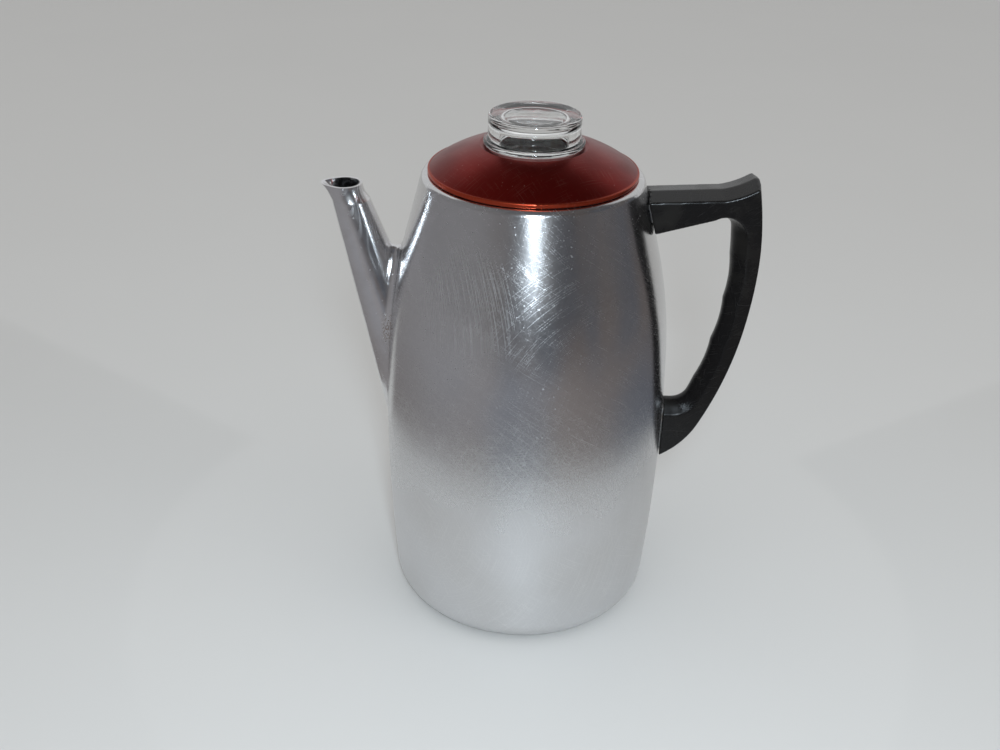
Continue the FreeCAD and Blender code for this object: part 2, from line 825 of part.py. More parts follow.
def span(middle, half):
    """Pair of expressions to both sides of a middle one."""
    return (f"({middle}) - ({half})", f"({middle}) + ({half})")


def plate_box(label, mount, play):
    """Box through the vessel's side that holds a bracket's plate, with some play round it."""
    across = span("0", f"{mount['width']} / 2 + {play}")
    upright = span(mount["middle"], f"{mount['height']} / 2 + {play}")
    return block(label, ("belly_radius / 2", "belly_radius * 1.5"), across, upright)


def tongue_box(label, mount, play):
    """Box from inside the vessel's side to the end of a bracket's tongue."""
    end = f"{mount['screw']} + tongue_end + {play}"
    across = span("0", f"tongue_width / 2 + {play}")
    upright = span(mount["middle"], f"tongue_thickness / 2 + {play}")
    return block(label, ("belly_radius / 2", end), across, upright)


def make_bracket(label, mount, pot, skin, rivets):
    """Plate that follows the vessel's side, with a tongue for the handle screw."""
    plate = common(label + "_plate", skin, plate_box(label + "_box", mount, "0"))
    tongue = tongue_box(label + "_tongue", mount, "0")
    blank = cut(label + "_blank", fuse(label + "_sheet", plate, tongue), pot)
    low, high = span(mount["middle"], "tongue_thickness")
    screw_hole = rod(label + "_screw_hole", mount["screw"], "0", low, high, "screw_radius")
    return cut(label, blank, fuse(label + "_holes", screw_hole, *rivets))


def rivet_place(across, height):
    """Point on the vessel's outside and the rotation that turns +Z into its outward normal."""
    radius = pot_radius(height)
    turn = math.degrees(math.asin(across / radius))
    lean = math.degrees(math.atan((pot_radius(height - 1) - pot_radius(height + 1)) / 2))
    spin = Rotation(Vector(0, 0, 1), turn)
    point = spin.multVec(Vector(radius, 0, height))
    return Placement(point, spin * Rotation(Vector(0, 1, 0), 90 - lean))


def make_rivets(label, places, plate, vessel_holed):
    """Domed rivets through the vessel's wall and a bracket plate, their heads seated on both."""
    crown = "rivet_head * 0.55"
    curve = "rivet_dome * 1.6"
    sunk = "0.2"
    blanks = []
    for number, place in enumerate(places, start=1):
        body = turned_body(f"{label}_blank_{number}", [
            ("0", "-wall - rivet_dome"),
            (crown, "-wall - rivet_dome", curve, "left"),
            ("rivet_head", f"-wall + {sunk}"),
            ("rivet_radius", f"-wall + {sunk}"),
            ("rivet_radius", f"bracket_plate - {sunk}"),
            ("rivet_head", f"bracket_plate - {sunk}", curve, "left"),
            (crown, "bracket_plate + rivet_dome"),
            ("0", "bracket_plate + rivet_dome"),
        ])
        body.Placement = place
        blanks.append(body)
    doc.recompute()
    return cut(label, fuse(label + "_blanks", *blanks), fuse(label + "_seats", vessel_holed, plate))


def rivet_hole(label, place):
    """Cylinder through the wall and the plate for one rivet's shank."""
    item = primitive("Cylinder", label, {"Radius": "rivet_radius", "Height": "3 * (wall + bracket_plate)"})
    item.Placement = place.multiply(Placement(Vector(0, 0, -3 * size("wall")), Rotation()))
    return item


def make_screw(label, mount):
    """Pan-head screw that enters from below, with a slot in its head."""
    x = mount["screw"]
    top = f"{mount['middle']} + tongue_thickness / 2"
    under = f"{mount['seat']} - washer_thickness"
    shank = rod(label + "_shank", x, "0", under, top, "screw_radius")
    head = rod(label + "_head", x, "0", f"{under} - screw_head_height", under, "screw_head")
    slot = block(label + "_slot", span(x, "2 * screw_head"), span("0", "screw_slot / 2"),
                 span(f"{under} - screw_head_height", "screw_head_height / 2"))
    return cut(label, fuse(label + "_turned", shank, head), slot)


def make_washers(label, mounts):
    rings = []
    for number, mount in enumerate(mounts, start=1):
        x = mount["screw"]
        seat = mount["seat"]
        low = f"{seat} - washer_thickness"
        disc = rod(f"{label}_disc_{number}", x, "0", low, seat, "screw_head + washer_lip")
        hole = rod(f"{label}_hole_{number}", x, "0", f"{low} - 1", f"{seat} + 1", "screw_radius + washer_fit")
        rings.append(cut(f"{label}_ring_{number}", disc, hole))
    return fuse(label, *rings)


def handle_tools(mount, skin_gap, prefix):
    """Recess, tongue slot, screw hole and counterbore for one end of the handle."""
    x = mount["screw"]
    seat = mount["seat"]
    recess = common(prefix + "_recess", skin_gap, plate_box(prefix + "_recess_box", mount, "plate_play"))
    slot = tongue_box(prefix + "_slot", mount, "tongue_fit")
    top = f"{mount['middle']} + tongue_thickness / 2 + tongue_fit"
    drill = rod(prefix + "_drill", x, "0", f"{seat} - 2", top, "screw_radius + tongue_fit")
    bore = rod(prefix + "_counterbore", x, "0", f"{seat} - arm_width", seat, "screw_head + screw_well_play")
    return [recess, slot, drill, bore]


# ---------------------------------------------------------------- lid and glass knob

def dome_corners(lift):
    """The dome's outside from the land to the rim, lifted by an expression and shifted with it."""
    return [
        (f"lid_land - ({lift}) * lid_shift_out", f"land_height - ({lift}) * lid_shift_down",
         "lid_dome", "right"),
        (f"lid_radius - lid_bead_round / 2 - ({lift}) * lid_shift_out",
         f"lid_rim_top - ({lift}) * lid_shift_down"),
    ]


def make_lid_shell():
    body = add_body("lid_blank")
    hole = "knob_neck + knob_fit"
    outside = dome_corners("0")
    inside = dome_corners("1")
    revolve(body, "lid_dome_sheet", [
        (hole, "land_height"),
        outside[0],
        outside[1],
        (inside[1][0], inside[1][1], "lid_dome", "left"),
        (inside[0][0], inside[0][1]),
        (hole, "land_height - lid_sheet"),
    ])
    revolve(body, "lid_rim_bead", [
        ("lid_radius - lid_bead", "lid_base"),
        ("lid_radius - lid_bead_round", "lid_base", "lid_bead_round", "left"),
        ("lid_radius", "lid_base + lid_bead_round"),
        ("lid_radius", "lid_rim_top - lid_bead_round / 3", "lid_bead_round", "left"),
        ("lid_radius - lid_bead_round", "lid_rim_top + lid_bead_round * 2 / 3"),
        ("lid_radius - lid_bead", "lid_rim_top"),
    ])
    low, high = span("land_height", "2 * lid_sheet")
    notches = []
    for number in (0, 1):
        middle = f"90 + twist_angle + {number} * 180"
        notches.append(sector(f"knob_notch_{number}", low, high, "knob_neck + lug_reach + knob_fit", middle,
                              "lug_angle + notch_play"))
    return cut("lid_shell", body, fuse("knob_notches", *notches))


def make_lid_collar():
    """Ring that drops into the mouth, its top seated against the underside of the dome."""
    inside = dome_corners("1")
    bottom = "ledge_height - collar_depth"
    blank = turned_body("collar_blank", [
        ("collar_radius - collar_turn_in", bottom),
        ("collar_radius - collar_round", bottom, "collar_round", "left"),
        ("collar_radius", f"{bottom} + collar_round"),
        ("collar_radius", "land_height"),
        ("collar_radius - lid_sheet", "land_height"),
        ("collar_radius - lid_sheet", f"{bottom} + collar_round", "collar_round - lid_sheet", "right"),
        ("collar_radius - collar_round", f"{bottom} + lid_sheet"),
        ("collar_radius - collar_turn_in", f"{bottom} + lid_sheet"),
    ])
    above = turned_body("collar_trim", [
        ("0", inside[0][1]),
        inside[0],
        inside[1],
        ("lid_radius + 5", inside[1][1]),
        ("lid_radius + 5", "land_height + 10"),
        ("0", "land_height + 10"),
    ])
    return cut("lid_collar", blank, above)


def make_glass_knob():
    """Hollow glass knob with a flange and two lugs that lock under the lid."""
    foot = "knob_base - knob_neck_depth"
    flange_top = "knob_base + knob_flange_thickness"
    ceiling = "knob_top - knob_crown"
    body = turned_body("knob_glass", [
        ("knob_bore", foot),
        ("knob_neck", foot),
        ("knob_neck", "knob_base"),
        ("knob_flange - knob_flange_round", "knob_base", "knob_flange_round", "left"),
        ("knob_flange", "knob_base + knob_flange_round"),
        ("knob_flange", f"{flange_top} - knob_flange_round", "knob_flange_round", "left"),
        ("knob_flange - knob_flange_round", flange_top),
        ("knob_radius + knob_foot_round", flange_top, "knob_foot_round", "right"),
        ("knob_radius", f"{flange_top} + knob_foot_round"),
        ("knob_radius", "knob_top - knob_round", "knob_round", "left"),
        ("knob_radius - knob_round", "knob_top"),
        ("knob_bore", "knob_top", "knob_dish_sweep", "right"),
        ("0", "knob_top - knob_dish"),
        ("0", ceiling),
        ("knob_bore - knob_ceiling_round", ceiling, "knob_ceiling_round", "right"),
        ("knob_bore", f"{ceiling} - knob_ceiling_round"),
    ])
    lug_top = "land_height - lid_sheet - knob_fit"
    lugs = []
    for number in (0, 1):
        lug = sector(f"knob_lug_slice_{number}", f"{lug_top} - lug_thickness", lug_top,
                     "knob_neck + lug_reach", f"90 + {number} * 180", "lug_angle")
        core = rod(f"knob_lug_core_{number}", "0", "0", f"{lug_top} - lug_thickness - 1", f"{lug_top} + 1",
                   "knob_neck - 0.5")
        lugs.append(cut(f"knob_lug_{number}", lug, core))
    return fuse("glass_knob", body, *lugs)


# ---------------------------------------------------------------- pump

def make_pump_tube():
    low = "bell_top + valve_room"
    return turned_body("pump_tube", [
        ("tube_radius - tube_wall", low),
        ("tube_radius", low),
        ("tube_radius", "tube_top"),
        ("tube_radius - tube_wall", "tube_top"),
    ])


def make_pump_base():
    """Flared bell with a neck that holds the valve seat and grips the tube."""
    neck = "tube_radius + bell_sheet"
    sweep = "bell_height * 1.6"
    skirt_top = "bell_base + bell_skirt"
    flare_foot = "bell_top - bell_flare / 2"
    body = turned_body("pump_bell", [
        ("bell_radius - bell_sheet", "bell_base"),
        ("bell_radius", "bell_base"),
        ("bell_radius", skirt_top, sweep, "left"),
        (f"{neck} + bell_flare", flare_foot, "bell_flare", "right"),
        (neck, "bell_top"),
        (neck, "bell_neck_top"),
        ("tube_radius", "bell_neck_top"),
        ("tube_radius", "bell_top - bell_sheet", "bell_flare", "left"),
        ("tube_radius + bell_flare", f"{flare_foot} - bell_sheet", sweep, "right"),
        ("bell_radius - bell_sheet", skirt_top),
    ])
    sketch = add_sketch(body, "bell_notch_circle", "YZ_Plane")
    add_circle(sketch, "0", "bell_base", "bell_notch")
    before = body.Shape.Volume
    notch = body.newObject("PartDesign::Pocket", "bell_notch")
    notch.Profile = sketch
    notch.Type = 1
    doc.recompute()
    if notch.Shape.Volume >= before:
        raise RuntimeError("the bell notch cuts nothing")
    ring = body.newObject("PartDesign::PolarPattern", "bell_notches")
    ring.Originals = [notch]
    ring.Axis = (origin_feature(body, "Z_Axis"), [""])
    ring.Angle = 360
    ring.Occurrences = 6
    body.Tip = ring
    doc.recompute()
    return body


def make_valve_seat():
    return turned_body("valve_seat", [
        ("valve_hole", "bell_top - bell_sheet"),
        ("tube_radius", "bell_top - bell_sheet"),
        ("tube_radius", "bell_top - bell_sheet + valve_seat_thickness"),
        ("valve_hole", "bell_top - bell_sheet + valve_seat_thickness"),
    ])


def make_valve_washer():
    low = "bell_top - bell_sheet + valve_seat_thickness + valve_washer_gap"
    return turned_body("valve_washer", [
        ("0", low),
        ("tube_radius - valve_washer_fit", low),
        ("tube_radius - valve_washer_fit", f"{low} + valve_washer_thickness"),
        ("0", f"{low} + valve_washer_thickness"),
    ])


def make_basket_stop():
    return turned_body("basket_stop", [
        ("tube_radius", "stop_height"),
        ("stop_radius - stop_round", "stop_height", "stop_round", "left"),
        ("stop_radius", "stop_height + stop_round"),
        ("stop_radius", "stop_height + stop_thickness"),
        ("tube_radius", "stop_height + stop_thickness"),
    ])


# ---------------------------------------------------------------- basket and spreader

def sieve_rings(body, name, first, last):
    """Rings of holes a pitch apart, from an inner radius to an outer one."""
    stagger = 9.0
    rings = int((value(last) - value(first)) / size("sieve_pitch")) + 1
    for number in range(rings):
        radius = f"{first} + {number} * sieve_pitch"
        half_count = int(math.pi * value(radius) / size("sieve_pitch"))
        hole_ring(body, f"{name}_{number}", radius, "sieve_hole", 2 * half_count, number * stagger)


def make_basket_shell():
    body = add_body("basket_shell")
    corner = "basket_corner"
    inner = "basket_corner - basket_sheet"
    revolve(body, "basket_cup", [
        ("hub_radius", "basket_base"),
        (f"basket_radius - {corner}", "basket_base", corner, "left"),
        ("basket_radius", f"basket_base + {corner}"),
        ("basket_radius", "basket_top - 2 * basket_rim"),
        ("basket_radius + basket_rim", "basket_top - basket_rim", "basket_rim", "left"),
        ("basket_radius", "basket_top"),
        ("basket_radius - basket_sheet", "basket_top - basket_rim / 3"),
        ("basket_radius - basket_sheet", f"basket_base + {corner}", inner, "right"),
        (f"basket_radius - {corner}", "basket_base + basket_sheet"),
        ("hub_radius", "basket_base + basket_sheet"),
    ])
    sieve_rings(body, "basket_holes", "hub_radius + hub_flange + sieve_margin",
                "basket_radius - basket_corner - sieve_margin / 2")
    return body


def make_basket_hub():
    return turned_body("basket_hub", [
        ("hub_bore", "hub_base"),
        ("hub_radius + hub_flange", "hub_base"),
        ("hub_radius + hub_flange", "hub_base + hub_sheet"),
        ("hub_radius", "hub_base + hub_sheet"),
        ("hub_radius", "basket_top + hub_stand"),
        ("hub_bore", "basket_top + hub_stand"),
    ])


def make_spreader():
    """Perforated lid of the basket, with a turned-down lip outside the basket's rim."""
    body = add_body("spreader_plate")
    lip = "basket_radius + basket_rim + seat_gap"
    top = "spreader_base + spreader_sheet"
    collar = "hub_radius + seat_gap + spreader_sheet"
    revolve(body, "spreader_dish", [
        (collar, "spreader_base"),
        (lip, "spreader_base"),
        (lip, "spreader_base - spreader_lip"),
        (f"{lip} + spreader_sheet", "spreader_base - spreader_lip"),
        (f"{lip} + spreader_sheet", "spreader_base", "spreader_sheet", "left"),
        (lip, top),
        (collar, top),
    ])
    sieve_rings(body, "spreader_holes", f"{collar} + spreader_collar_lip + sieve_margin * 2 / 3",
                "basket_radius - sieve_margin")
    return body


def make_spreader_collar():
    """Flanged collar of the spreader, which slides on the basket's hub."""
    bore = "hub_radius + seat_gap"
    outside = f"{bore} + spreader_sheet"
    lip = f"{outside} + spreader_collar_lip"
    plate_top = "spreader_base + spreader_sheet"
    lip_top = "spreader_base + 2 * spreader_sheet"
    top = "spreader_base + spreader_collar_height"
    return turned_body("spreader_collar", [
        (bore, "spreader_base"),
        (outside, "spreader_base"),
        (outside, plate_top),
        (lip, plate_top),
        (lip, lip_top),
        (outside, lip_top),
        (outside, top),
        (bore, top),
    ])


# ---------------------------------------------------------------- assembly

def bracket_mount(end):
    """Places and sizes of the bracket at the handle's arm or foot, as expressions."""
    return {
        "middle": f"{end}_tongue_height",
        "screw": f"{end}_screw_reach",
        "width": f"{end}_plate_width",
        "height": f"{end}_plate_height",
        "seat": f"({end}_tongue_height - tongue_thickness / 2 - {end}_seat_wall)",
    }


def make_percolator():
    nodes = []
    pot = pot_form("pot_form", "0")
    skin = pot_form("plate_form", "bracket_plate")
    recess_skin = pot_form("recess_form", "bracket_plate + rivet_dome + tongue_fit")
    gap_skin = pot_form("handle_gap_form", "handle_gap")

    arm = bracket_mount("arm")
    foot = bracket_mount("foot")
    sides = (-1, 1)
    arm_places = [rivet_place(side * size("arm_rivet_offset"), value(arm["middle"])) for side in sides]
    foot_middle = value(foot["middle"])
    foot_places = [rivet_place(0.0, foot_middle + side * size("foot_rivet_offset")) for side in sides]
    arm_holes = [rivet_hole(f"arm_rivet_hole_{n}", place) for n, place in enumerate(arm_places, start=1)]
    foot_holes = [rivet_hole(f"foot_rivet_hole_{n}", place) for n, place in enumerate(foot_places, start=1)]
    vessel = cut("vessel", make_vessel(), fuse("rivet_holes", *arm_holes, *foot_holes))
    nodes.append(vessel)
    nodes.append(make_spout(pot))

    arm_bracket = make_bracket("upper_handle_bracket", arm, pot, skin, arm_holes)
    foot_bracket = make_bracket("lower_handle_bracket", foot, pot, skin, foot_holes)
    nodes += [arm_bracket, foot_bracket]
    nodes.append(make_rivets("upper_bracket_rivets", arm_places, arm_bracket, vessel))
    nodes.append(make_rivets("lower_bracket_rivets", foot_places, foot_bracket, vessel))

    tools = [gap_skin] + handle_tools(arm, recess_skin, "arm") + handle_tools(foot, recess_skin, "foot")
    nodes.append(make_handle(tools))
    nodes.append(make_screw("upper_handle_screw", arm))
    nodes.append(make_screw("lower_handle_screw", foot))
    nodes.append(make_washers("handle_screw_washers", [arm, foot]))

    nodes += [make_lid_shell(), make_lid_collar(), make_glass_knob()]
    nodes += [make_pump_tube(), make_pump_base(), make_valve_seat(), make_valve_washer(), make_basket_stop()]
    nodes += [make_basket_shell(), make_basket_hub(), make_spreader(), make_spreader_collar()]
    return nodes


def check(nodes):
    for item in doc.Objects:
        if "Invalid" in item.State or "Error" in item.State:
            raise RuntimeError(f"{item.Label} did not compute: {item.State}")
    for item in nodes:
        if item.Shape.isNull() or not item.Shape.isValid():
            raise RuntimeError(f"{item.Label} has no valid shape")


def export(nodes):
    os.makedirs("parts", exist_ok=True)
    for item in nodes:
        item.Shape.exportStep(f"parts/{item.Label}.step")
        print(f"{item.Label}: {len(item.Shape.Solids)} solids, {item.Shape.Volume:.1f} mm3")


percolator = make_percolator()
doc.recompute()
check(percolator)
export(percolator)
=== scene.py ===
import bmesh
import bpy
import math
from mathutils import Matrix, Vector


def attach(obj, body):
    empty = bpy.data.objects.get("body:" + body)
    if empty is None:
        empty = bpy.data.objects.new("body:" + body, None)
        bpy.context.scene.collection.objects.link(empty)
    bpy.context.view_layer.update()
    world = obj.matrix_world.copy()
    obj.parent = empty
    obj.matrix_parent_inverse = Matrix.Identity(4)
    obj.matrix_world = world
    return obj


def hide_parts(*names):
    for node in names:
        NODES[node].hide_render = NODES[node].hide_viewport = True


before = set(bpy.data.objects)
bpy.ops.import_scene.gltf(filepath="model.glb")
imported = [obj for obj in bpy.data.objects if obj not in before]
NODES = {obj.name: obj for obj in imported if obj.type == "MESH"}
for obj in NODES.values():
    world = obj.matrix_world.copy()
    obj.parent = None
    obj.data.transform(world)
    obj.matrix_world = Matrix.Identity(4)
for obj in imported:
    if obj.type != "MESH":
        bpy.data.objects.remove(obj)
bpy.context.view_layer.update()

MM = 0.001


def radius_of(node):
    """Outer radius of a node that is round about the upright axis, to a tenth of a millimetre."""
    return round(max(corner[1] for corner in NODES[node].bound_box) / MM, 1)


# ---------------------------------------------------------------- sizes of the set, in metres

CAMERA_PLACE = Vector((0.0, -0.4707, 0.3836))
CAMERA_PITCH = 0.5176  # radians, as are the next two
CAMERA_YAW = 0.0269
CAMERA_ROLL = 0.0236
CAMERA_LENS = 39.6  # millimetres, as is the sensor
CAMERA_SENSOR = 36.0

FLASH_PLACE = (0.03, -0.56, 0.47)
FLASH_TARGET = (0.0, 0.0, 0.21)
CEILING_PLACE = (-0.3, 0.1, 1.6)
SIDE_PLACE = (1.5, -0.5, 0.9)
POT_MIDDLE = (0.0, 0.0, 0.12)

FLOOR_REACH = 6.0
FLOOR_SIDES = 96

# Distance from the upright axis and height, from the room's floor to its top.
ROOM_OUTLINE = ((0.205, 0.004), (0.45, 0.006), (0.70, 0.012), (0.80, 0.10), (0.80, 0.30), (0.78, 0.50),
                (0.70, 0.68), (0.55, 0.82), (0.32, 0.92), (0.0, 0.95))
ROOM_COLUMNS = 96
ROOM_OPEN_RINGS = 7
ROOM_OPEN_TURN = math.radians(56)

# ---------------------------------------------------------------- sizes of the finishes, in millimetres

BELLY_RADIUS = radius_of("vessel")
LID_RADIUS = radius_of("lid_shell")

# Radii at which the round pieces are unrolled, so that a turn becomes a distance.
VESSEL_UNROLLED = 62.0
INSIDES_UNROLLED = 30.0

# Heights between which the vessel gets duller, and radii between which the lid's rim gets a painted
# highlight.
DULL_FROM = 165.0
DULLEST_AT = 60.0
RIM_HIGHLIGHT_START = LID_RADIUS - 1.4
RIM_HIGHLIGHT_FULL = LID_RADIUS + 0.2

# How far the weld seam reaches out from the belly, the heights of its ends and how softly they fade.
SEAM_WIDTH = 2.2
SEAM_TOP = 157.0
SEAM_FOOT = 137.0
SEAM_FADE = 7.0

# Middles are (distance round the vessel, height). Wiping marks curve about one and lie near another.
WIPED_ABOUT = (-215.0, 150.0)
WIPED_NEAR = (-127.0, 178.0)
TURNED_ABOUT = (-52.0, 128.0)
TURNED_NEAR = (-92.0, 176.0)
BROAD_ABOUT = (-150.0, 60.0)
ARC_REACH = 50.0  # radius at which the arcs have their stated length

# How far the scratches bend and over what distance, then their soft edges in levels of the noise.
STROKE_BEND = 14.0
STROKE_BEND_SIZE = 60.0
STROKE_EDGE = 0.05
ARC_EDGE = 0.06

# Places across the room, from left to right, between which its painted reflection gets darker.
ROOM_LIGHTEST_AT = -520.0
ROOM_DARKEST_AT = 40.0

MOULDING_CELL = 0.6
MOULDING_PASSES = 2
MOULDING_PULL = 0.5  # share of the way that each pass moves a point
SMALLEST_FACE = 1e-9  # square millimetres

# ---------------------------------------------------------------- colours

FLOOR_COLOUR = (0.61, 0.60, 0.58, 1.0)
FLOOR_DARKER = 0.97  # share of that colour in the darker mottle
SKY_COLOUR = (0.86, 0.87, 0.88, 1.0)
SKY_STRENGTH = 0.72
# The dark room's colours are painted shade and reflection, seen only in the pot's reflections and lighter on
# the left.
ROOM_BROWN = (0.165, 0.135, 0.122, 1.0)
ROOM_BLUE = (0.112, 0.118, 0.138, 1.0)
ROOM_LEFT = (0.31, 0.295, 0.30, 1.0)
FLASH_COLOUR = (0.78, 0.90, 1.0)
PLAIN_WHITE = (1.0, 1.0, 1.0)

VESSEL_BRIGHT = (0.70, 0.70, 0.71, 1.0)
VESSEL_WORN = (0.66, 0.655, 0.655, 1.0)
VESSEL_SCRATCH = (0.88, 0.88, 0.88, 1.0)
SPOUT_BRIGHT = (0.82, 0.82, 0.83, 1.0)
SPOUT_WORN = (0.72, 0.71, 0.71, 1.0)
SEAM_STAIN = (0.24, 0.13, 0.07, 1.0)
PLAIN_BRIGHT = (0.76, 0.76, 0.76, 1.0)
PLAIN_DULL = (0.60, 0.59, 0.58, 1.0)
PLAIN_STAIN = (0.42, 0.33, 0.25, 1.0)
BASKET_BRIGHT = (0.72, 0.72, 0.71, 1.0)
BASKET_DULL = (0.55, 0.53, 0.51, 1.0)
BASKET_STAIN = (0.36, 0.26, 0.18, 1.0)
LID_BRIGHT = (0.215, 0.011, 0.0075, 1.0)
LID_DARK = (0.165, 0.009, 0.006, 1.0)
# Lighter red of the painted highlight along the lid's rounded rim.
LID_RIM_HIGHLIGHT = (0.52, 0.07, 0.03, 1.0)
LID_SCRATCH = (0.62, 0.36, 0.30, 1.0)
HANDLE_BLACK = (0.006, 0.0055, 0.0055, 1.0)
HANDLE_RUBBED = (0.011, 0.010, 0.009, 1.0)
HANDLE_SCRATCH = (0.10, 0.095, 0.09, 1.0)
GLASS_TINT = (0.992, 0.998, 0.993, 1.0)
STEEL_BRIGHT = (0.58, 0.57, 0.55, 1.0)
STEEL_STAIN = (0.30, 0.24, 0.19, 1.0)


# ---------------------------------------------------------------- shader helper

class Shader:
    """Node tree of one material, with short calls for the nodes used here."""

    def __init__(self, name, constants):
        self.material = bpy.data.materials.new(name)
        self.material.use_nodes = True
        self.nodes = self.material.node_tree.nodes
        self.links = self.material.node_tree.links
        self.surface = self.nodes["Principled BSDF"]
        for socket, value in constants.items():
            self.surface.inputs[socket].default_value = value

    def feed(self, socket, value):
        """Link another node's output to a socket, or set its value."""
        if isinstance(value, bpy.types.NodeSocket):
            self.links.new(value, socket)
        else:
            socket.default_value = value

    def use(self, socket, value):
        """Link another node's output to one of the surface's inputs."""
        self.links.new(value, self.surface.inputs[socket])

    def node(self, kind, inputs, **settings):
        """Node of a kind, with its settings and with its inputs fed."""
        made = self.nodes.new("ShaderNode" + kind)
        for name, value in settings.items():
            setattr(made, name, value)
        for socket, value in inputs.items():
            self.feed(made.inputs[socket], value)
        return made

    def math(self, operation, first, second=0.0):
        """One sum on one or two values."""
        return self.node("Math", {0: first, 1: second}, operation=operation).outputs[0]

    def product(self, first, second):
        """One value times another."""
        return self.math("MULTIPLY", first, second)

    def total(self, shares):
        """Weighted sum of (value, weight) pairs."""
        result = None
        for value, weight in shares:
            term = self.product(value, weight)
            result = term if result is None else self.math("ADD", result, term)
        return result

    def step(self, value, start, end):
        """Smooth change from 0 to 1 as value goes from start to end, whichever is higher."""
        inputs = {"Value": value, "From Min": start, "From Max": end}
        return self.node("MapRange", inputs, interpolation_type="SMOOTHSTEP").outputs["Result"]

    def mix(self, share, first, second):
        """Colour that goes from first to second as share goes from 0 to 1."""
        return self.node("Mix", {0: share, 6: first, 7: second}, data_type="RGBA").outputs[2]

    def vector(self, x, y):
        """Point of a plane, from its two values."""
        return self.node("CombineXYZ", {0: x, 1: y}).outputs[0]

    def length(self, x, y):
        """Distance between the origin and a point of a plane."""
        return self.node("VectorMath", {0: self.vector(x, y)}, operation="LENGTH").outputs["Value"]

    def place(self):
        """Position on the object in millimetres."""
        coordinates = self.node("TexCoord", {}).outputs["Object"]
        scaled = self.node("VectorMath", {0: coordinates, "Scale": 1.0 / MM}, operation="SCALE")
        return scaled.outputs[0]

    def parts(self):
        """Position on the object as separate X, Y and Z, in millimetres."""
        return self.node("SeparateXYZ", {0: self.place()}).outputs

    def unrolled(self, radius):
        """Distance around the upright axis at one radius, and height, both in millimetres."""
        parts = self.parts()
        return self.product(self.math("ARCTAN2", parts["Y"], parts["X"]), radius), parts["Z"]

    def noise(self, place, size, seed, detail=2.0):
        """Noise whose features are about size millimetres across."""
        inputs = {"Vector": place, "Scale": 1.0 / size, "W": seed, "Detail": detail}
        return self.node("TexNoise", inputs, noise_dimensions="4D").outputs["Fac"]

    def spots(self, place, size, seed, low, high, detail):
        """Mask of the parts of a noise that are over low, full where they are over high."""
        return self.step(self.noise(place, size, seed, detail), low, high)

    def rings(self, around, up, share, size, seed):
        """Fine rings round the axis, drawn out by the small share of the way round that counts."""
        return self.noise(self.vector(self.product(around, share), up), size, seed, detail=1.0)

    def strokes(self, across, along, lean, length, width, rarity, seed):
        """Mask of thin, slightly curved scratches at an angle in degrees to the first coordinate."""
        bend = self.noise(self.vector(across, along), STROKE_BEND_SIZE, seed + 0.5)
        leaned = self.math("ADD", self.product(bend, STROKE_BEND), across)
        cosine = math.cos(math.radians(lean))
        sine = math.sin(math.radians(lean))
        run = self.math("ADD", self.product(leaned, cosine), self.product(along, sine))
        side = self.math("SUBTRACT", self.product(along, cosine), self.product(leaned, sine))
        drawn = self.vector(self.math("DIVIDE", run, length), self.math("DIVIDE", side, width))
        return self.spots(drawn, size=1.0, seed=seed, low=rarity, high=rarity + STROKE_EDGE, detail=0.0)

    def offset(self, across, along, middle):
        """Distances from a middle point along both coordinates."""
        return self.math("SUBTRACT", across, middle[0]), self.math("SUBTRACT", along, middle[1])

    def arcs(self, across, along, about, length, width, rarity, seed):
        """Mask of scratches that curve about a point, as a wiping hand leaves them."""
        side, rise = self.offset(across, along, about)
        turn = self.product(self.math("ARCTAN2", rise, side), ARC_REACH)
        reach = self.length(side, rise)
        drawn = self.vector(self.math("DIVIDE", reach, width), self.math("DIVIDE", turn, length))
        return self.spots(drawn, size=1.0, seed=seed, low=rarity, high=rarity + ARC_EDGE, detail=0.0)

    def near(self, across, along, middle, inner, outer):
        """Soft round mask: 1 inside the inner distance of a point and 0 outside the outer one."""
        side, rise = self.offset(across, along, middle)
        return self.step(self.length(side, rise), outer, inner)

    def relief(self, height, depth):
        """Bump from a height of 0 to 1 that stands for a depth in millimetres."""
        bump = self.node("Bump", {"Height": height, "Distance": depth * MM, "Strength": 1.0})
        self.use("Normal", bump.outputs[0])


# ---------------------------------------------------------------- materials

